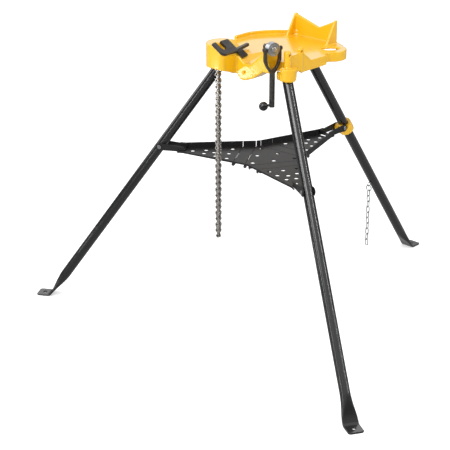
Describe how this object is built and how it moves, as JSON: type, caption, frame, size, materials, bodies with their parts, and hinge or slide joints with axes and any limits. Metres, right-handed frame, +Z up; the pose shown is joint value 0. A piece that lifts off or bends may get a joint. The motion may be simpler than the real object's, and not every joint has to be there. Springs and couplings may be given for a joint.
{
  "type": "tripod chain vise",
  "caption": "Folding tripod stand with a cast chain vise head, V rest, crank tightener, hinged plate tray and hanging chains.",
  "frame": {"origin": "on the floor, under the middle of the footprint of the three open legs", "axes": "+Z up from the floor; +Y from the V jaw at the front to the two horns of the rear rest, along the clamped pipe; +X to the crank's side"},
  "size_m": [1.4066, 1.2597, 0.976],
  "materials": {
    "casting": "glossy yellow enamel over a cast surface",
    "tube": "semi-gloss black paint",
    "tray_sheet": "satin black paint on pressed sheet",
    "hinge_steel": "black oxide",
    "forging": "black oxide on forged steel, satin",
    "knob": "glossy black",
    "plating": "bright zinc plate",
    "chain_steel": "bare steel, lightly oiled",
    "zinc_wire": "zinc plated wire"
  },
  "bodies": {
    "head": {"vise_head": "casting", "hook_jaw": "forging", "jaw_screw_1": "forging", "jaw_screw_2": "forging", "thrust_washer": "plating", "pivot_bolt_left": "casting", "pivot_bolt_right": "casting", "pivot_bolt_rear": "casting", "pivot_nut_left": "casting", "pivot_nut_right": "casting", "pivot_nut_rear": "casting"},
    "left_leg": {"leg_left": "tube", "tray_bolt_left": "plating"},
    "right_leg": {"leg_right": "tube", "tray_bolt_right": "plating"},
    "rear_leg": {"leg_rear": "tube", "tray_bolt_rear": "plating", "rear_collar": "casting", "chain_eye": "zinc_wire"},
    "left_bracket": {"tray_bracket_left": "tray_sheet"},
    "right_bracket": {"tray_bracket_right": "tray_sheet"},
    "rear_bracket": {"tray_bracket_rear": "tray_sheet"},
    "tray": {"tray_centre": "tray_sheet", "hinge_pin_inner_left": "hinge_steel", "hinge_pin_inner_right": "hinge_steel", "hinge_pin_inner_rear": "hinge_steel"},
    "left_strip": {"tray_strip_left": "tray_sheet"},
    "right_strip": {"tray_strip_right": "tray_sheet"},
    "rear_strip": {"tray_strip_rear": "tray_sheet"},
    "left_wing": {"tray_wing_left": "tray_sheet", "hinge_pin_outer_left": "hinge_steel"},
    "right_wing": {"tray_wing_right": "tray_sheet", "hinge_pin_outer_right": "hinge_steel"},
    "rear_wing": {"tray_wing_rear": "tray_sheet", "hinge_pin_outer_rear": "hinge_steel"},
    "screw": {"tension_screw": "plating", "chain_catch": "forging"},
    "nut": {"tension_nut": "plating", "crank_pin_front": "plating", "crank_pin_back": "plating"},
    "handle": {"crank": "forging"},
    "knob": {"crank_knob": "knob"},
    "chain_end": {"chain_hook": "chain_steel"},
    "chain_1": {"chain_run_1": "chain_steel"},
    "chain_2": {"chain_run_2": "chain_steel"},
    "chain_3": {"chain_run_3": "chain_steel"},
    "chain_4": {"chain_run_4": "chain_steel"},
    "chain_5": {"chain_run_5": "chain_steel"},
    "wire_chain_1": {"chain_ring": "zinc_wire", "chain_link_1": "zinc_wire"},
    "wire_chain_2": {"chain_link_2": "zinc_wire", "chain_link_3": "zinc_wire", "chain_link_4": "zinc_wire"},
    "wire_chain_3": {"chain_link_5": "zinc_wire", "chain_link_6": "zinc_wire", "chain_link_7": "zinc_wire"},
    "wire_chain_4": {"chain_link_8": "zinc_wire", "chain_link_9": "zinc_wire", "chain_link_10": "zinc_wire"}
  },
  "joints": [
    {"name": "left_leg_fold", "type": "hinge", "parent": "head", "child": "left_leg", "pos_m": [-0.12938, -0.27877, 0.868], "axis": [0.506, -0.8625, 0], "range_deg": [0, 33]},
    {"name": "right_leg_fold", "type": "hinge", "parent": "head", "child": "right_leg", "pos_m": [0.12938, -0.27877, 0.868], "axis": [0.506, 0.8625, 0], "range_deg": [0, 33]},
    {"name": "rear_leg_fold", "type": "hinge", "parent": "head", "child": "rear_leg", "pos_m": [0, -0.03186, 0.868], "axis": [-1, 0, 0], "range_deg": [0, 33]},
    {"name": "tray_lift", "type": "slide", "parent": "head", "child": "tray", "axis": [0, 0, 1], "range_m": [0, 0.1858]},
    {"name": "left_strip_fold", "type": "hinge", "parent": "tray", "child": "left_strip", "pos_m": [-0.05348, -0.23423, 0.552], "axis": [0.506, -0.8625, 0], "range_deg": [0, 60.01]},
    {"name": "right_strip_fold", "type": "hinge", "parent": "tray", "child": "right_strip", "pos_m": [0.05348, -0.23423, 0.552], "axis": [0.506, 0.8625, 0], "range_deg": [0, 60.01]},
    {"name": "rear_strip_fold", "type": "hinge", "parent": "tray", "child": "rear_strip", "pos_m": [0, -0.14086, 0.552], "axis": [-1, 0, 0], "range_deg": [0, 60.01]},
    {"name": "left_wing_fold", "type": "hinge", "parent": "left_strip", "child": "left_wing", "pos_m": [-0.08884, -0.25498, 0.552], "axis": [0.506, -0.8625, 0], "range_deg": [0, 15]},
    {"name": "right_wing_fold", "type": "hinge", "parent": "right_strip", "child": "right_wing", "pos_m": [0.08884, -0.25498, 0.552], "axis": [0.506, 0.8625, 0], "range_deg": [0, 15]},
    {"name": "rear_wing_fold", "type": "hinge", "parent": "rear_strip", "child": "rear_wing", "pos_m": [0, -0.09986, 0.552], "axis": [-1, 0, 0], "range_deg": [0, 12.41]},
    {"name": "left_bracket_fold", "type": "hinge", "parent": "left_leg", "child": "left_bracket", "pos_m": [-0.3093, -0.38432, 0.5712], "axis": [0.506, -0.8625, 0], "range_deg": [0, 42]},
    {"name": "right_bracket_fold", "type": "hinge", "parent": "right_leg", "child": "right_bracket", "pos_m": [0.3093, -0.38432, 0.5712], "axis": [0.506, 0.8625, 0], "range_deg": [0, 42]},
    {"name": "rear_bracket_fold", "type": "hinge", "parent": "rear_leg", "child": "rear_bracket", "pos_m": [0, 0.15574, 0.5712], "axis": [-1, 0, 0], "range_deg": [0, 39.41]},
    {"name": "nut_spin", "type": "hinge", "parent": "head", "child": "nut", "pos_m": [0.102, -0.31346, 0.954], "axis": [0.9613, -0.2756, 0], "range_deg": [-262, 0]},
    {"name": "screw_draw", "type": "slide", "parent": "head", "child": "screw", "axis": [0.9613, -0.2756, 0], "range_m": [0, 0.0037]},
    {"name": "handle_tilt", "type": "hinge", "parent": "nut", "child": "handle", "pos_m": [0.102, -0.31346, 0.954], "axis": [-0.2756, -0.9613, 0], "range_deg": [0, 10]},
    {"name": "knob_spin", "type": "hinge", "parent": "handle", "child": "knob", "pos_m": [0.09373, -0.3423, 0.78], "axis": [0.2756, 0.9613, 0], "continuous": true},
    {"name": "chain_end_swing", "type": "hinge", "parent": "head", "child": "chain_end", "pos_m": [-0.091, -0.34486, 0.905], "axis": [0, -1, 0], "range_deg": [0, 2]},
    {"name": "chain_swing_1", "type": "hinge", "parent": "chain_end", "child": "chain_1", "pos_m": [-0.091, -0.34486, 0.885], "axis": [0, -1, 0], "range_deg": [0, 5]},
    {"name": "chain_swing_2", "type": "hinge", "parent": "chain_1", "child": "chain_2", "pos_m": [-0.091, -0.34486, 0.765], "axis": [0, -1, 0], "range_deg": [0, 30]},
    {"name": "chain_swing_3", "type": "hinge", "parent": "chain_2", "child": "chain_3", "pos_m": [-0.091, -0.34486, 0.645], "axis": [0, -1, 0], "range_deg": [0, 40]},
    {"name": "chain_swing_4", "type": "hinge", "parent": "chain_3", "child": "chain_4", "pos_m": [-0.091, -0.34486, 0.525], "axis": [0, -1, 0], "range_deg": [0, 45]},
    {"name": "chain_swing_5", "type": "hinge", "parent": "chain_4", "child": "chain_5", "pos_m": [-0.091, -0.34486, 0.405], "axis": [0, -1, 0], "range_deg": [-60, 60]},
    {"name": "wire_swing_1", "type": "hinge", "parent": "rear_leg", "child": "wire_chain_1", "pos_m": [0, 0.33083, 0.31115], "axis": [1, 0, 0], "range_deg": [-20, 10]},
    {"name": "wire_swing_2", "type": "hinge", "parent": "wire_chain_1", "child": "wire_chain_2", "pos_m": [0, 0.33083, 0.27315], "axis": [1, 0, 0], "range_deg": [-20, 12]},
    {"name": "wire_swing_3", "type": "hinge", "parent": "wire_chain_2", "child": "wire_chain_3", "pos_m": [0, 0.33083, 0.21105], "axis": [1, 0, 0], "range_deg": [-20, 12]},
    {"name": "wire_swing_4", "type": "hinge", "parent": "wire_chain_3", "child": "wire_chain_4", "pos_m": [0, 0.33083, 0.14895], "axis": [1, 0, 0], "range_deg": [-20, 12]}
  ],
  "couplings": [
    {"joint": "right_leg_fold", "follows": "left_leg_fold", "ratio": 1},
    {"joint": "rear_leg_fold", "follows": "left_leg_fold", "ratio": 1},
    {"joint": "tray_lift", "follows": "left_leg_fold", "m_per_rad": 0.32259},
    {"joint": "left_strip_fold", "follows": "left_leg_fold", "ratio": 1.8182},
    {"joint": "right_strip_fold", "follows": "left_leg_fold", "ratio": 1.8182},
    {"joint": "rear_strip_fold", "follows": "left_leg_fold", "ratio": 1.8182},
    {"joint": "left_wing_fold", "follows": "left_leg_fold", "ratio": 0.4545},
    {"joint": "right_wing_fold", "follows": "left_leg_fold", "ratio": 0.4545},
    {"joint": "rear_wing_fold", "follows": "left_leg_fold", "ratio": 0.3758},
    {"joint": "left_bracket_fold", "follows": "left_leg_fold", "ratio": 1.2727},
    {"joint": "right_bracket_fold", "follows": "left_leg_fold", "ratio": 1.2727},
    {"joint": "rear_bracket_fold", "follows": "left_leg_fold", "ratio": 1.1939},
    {"joint": "screw_draw", "follows": "nut_spin", "m_per_rad": -0.0008}
  ]
}
